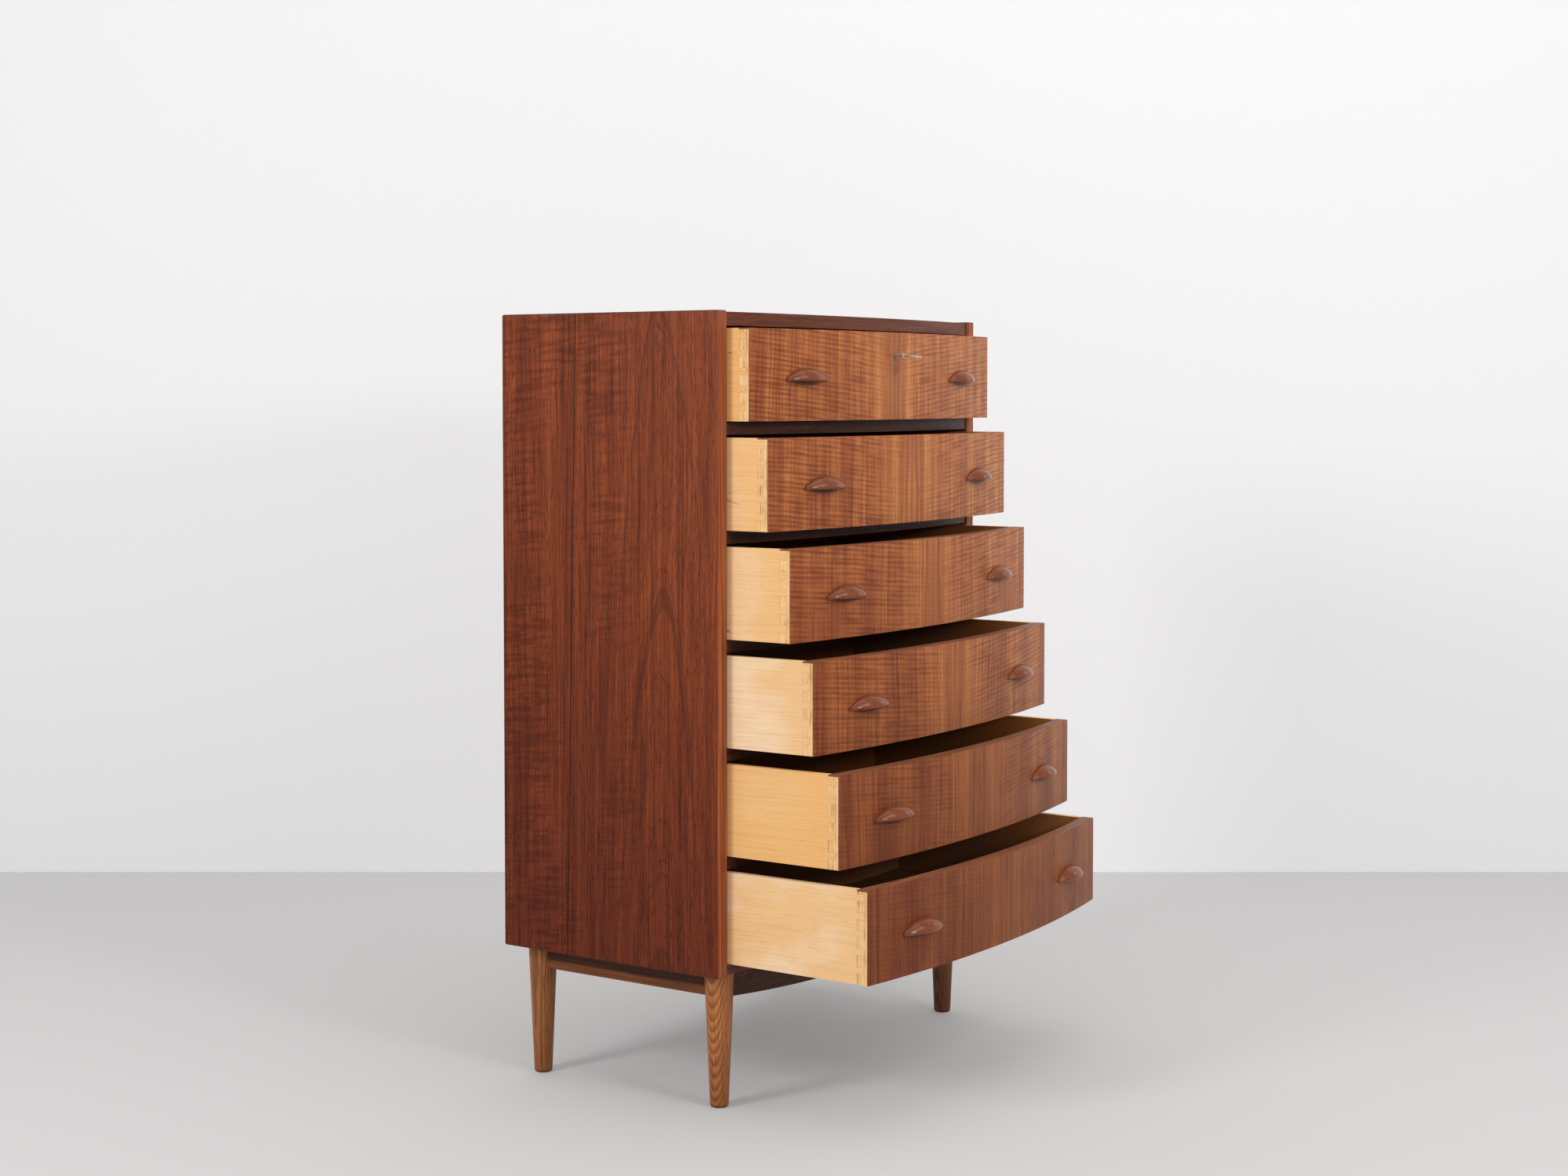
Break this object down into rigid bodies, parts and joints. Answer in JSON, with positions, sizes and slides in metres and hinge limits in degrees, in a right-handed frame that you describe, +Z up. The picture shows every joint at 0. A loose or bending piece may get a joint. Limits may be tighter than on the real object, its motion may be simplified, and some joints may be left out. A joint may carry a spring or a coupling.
{
  "type": "chest of drawers",
  "caption": "Tall bow front chest of drawers in teak on turned tapered legs, with half-moon wooden pulls and a lock with its key on the top drawer.",
  "frame": {"origin": "on the floor, at the middle of the bounding box of the chest with its drawers drawn out as they stand at rest", "axes": "+X to the right as seen from the front, -Y out of the front, +Z up"},
  "size_m": [0.755, 0.6877, 1.18],
  "materials": {
    "side_teak": "satin",
    "panel_teak": "satin",
    "front_teak": "satin",
    "handle_teak": "satin",
    "rail_wood": "satin",
    "lining_wood": "matte",
    "floor_ply": "matte",
    "runner_wood": "matte",
    "back_board": "matte",
    "leg_oak": "satin",
    "base_wood": "satin",
    "lock_steel": "satin",
    "key_steel": "polished",
    "keyhole_metal": "satin"
  },
  "bodies": {
    "case": {"side_panel_left": "side_teak", "side_panel_right": "side_teak", "top_panel": "panel_teak", "bottom_panel": "panel_teak", "back_panel": "back_board", "divider_rails": "rail_wood", "drawer_runners": "runner_wood", "drawer_stops": "runner_wood", "legs_front": "leg_oak", "legs_back": "leg_oak", "base_apron": "base_wood", "base_rail_left": "base_wood", "base_rail_right": "base_wood", "base_rail_back": "base_wood", "corner_blocks": "runner_wood", "strike_plate": "lock_steel"},
    "drawer_1": {"drawer_1_front": "front_teak", "drawer_1_side_left": "lining_wood", "drawer_1_side_right": "lining_wood", "drawer_1_back": "lining_wood", "drawer_1_bottom": "floor_ply", "drawer_1_handles": "handle_teak", "lock_case": "lock_steel", "escutcheon": "keyhole_metal"},
    "drawer_2": {"drawer_2_front": "front_teak", "drawer_2_side_left": "lining_wood", "drawer_2_side_right": "lining_wood", "drawer_2_back": "lining_wood", "drawer_2_bottom": "floor_ply", "drawer_2_handles": "handle_teak"},
    "drawer_3": {"drawer_3_front": "front_teak", "drawer_3_side_left": "lining_wood", "drawer_3_side_right": "lining_wood", "drawer_3_back": "lining_wood", "drawer_3_bottom": "floor_ply", "drawer_3_handles": "handle_teak"},
    "drawer_4": {"drawer_4_front": "front_teak", "drawer_4_side_left": "lining_wood", "drawer_4_side_right": "lining_wood", "drawer_4_back": "lining_wood", "drawer_4_bottom": "floor_ply", "drawer_4_handles": "handle_teak"},
    "drawer_5": {"drawer_5_front": "front_teak", "drawer_5_side_left": "lining_wood", "drawer_5_side_right": "lining_wood", "drawer_5_back": "lining_wood", "drawer_5_bottom": "floor_ply", "drawer_5_handles": "handle_teak"},
    "drawer_6": {"drawer_6_front": "front_teak", "drawer_6_side_left": "lining_wood", "drawer_6_side_right": "lining_wood", "drawer_6_back": "lining_wood", "drawer_6_bottom": "floor_ply", "drawer_6_handles": "handle_teak"},
    "lock_bolt": {"lock_bolt": "lock_steel"},
    "key": {"key": "key_steel"}
  },
  "joints": [
    {"name": "drawer_1_slide", "type": "slide", "parent": "case", "child": "drawer_1", "axis": [0, -1, 0], "range_m": [-0.042, 0.258]},
    {"name": "drawer_2_slide", "type": "slide", "parent": "case", "child": "drawer_2", "axis": [0, -1, 0], "range_m": [-0.0745, 0.2255]},
    {"name": "drawer_3_slide", "type": "slide", "parent": "case", "child": "drawer_3", "axis": [0, -1, 0], "range_m": [-0.113, 0.187]},
    {"name": "drawer_4_slide", "type": "slide", "parent": "case", "child": "drawer_4", "axis": [0, -1, 0], "range_m": [-0.1525, 0.1475]},
    {"name": "drawer_5_slide", "type": "slide", "parent": "case", "child": "drawer_5", "axis": [0, -1, 0], "range_m": [-0.196, 0.104]},
    {"name": "drawer_6_slide", "type": "slide", "parent": "case", "child": "drawer_6", "axis": [0, -1, 0], "range_m": [-0.2445, 0.0555]},
    {"name": "key_turn", "type": "hinge", "parent": "drawer_1", "child": "key", "pos_m": [0, -0.12413, 1.12], "axis": [0, 0.9969, 0.0785], "range_deg": [0, 92]},
    {"name": "bolt_throw", "type": "slide", "parent": "drawer_1", "child": "lock_bolt", "axis": [0, 0, 1], "range_m": [0, 0.008]}
  ],
  "couplings": [
    {"joint": "key_turn", "follows": "bolt_throw", "rad_per_m": 196.3}
  ]
}
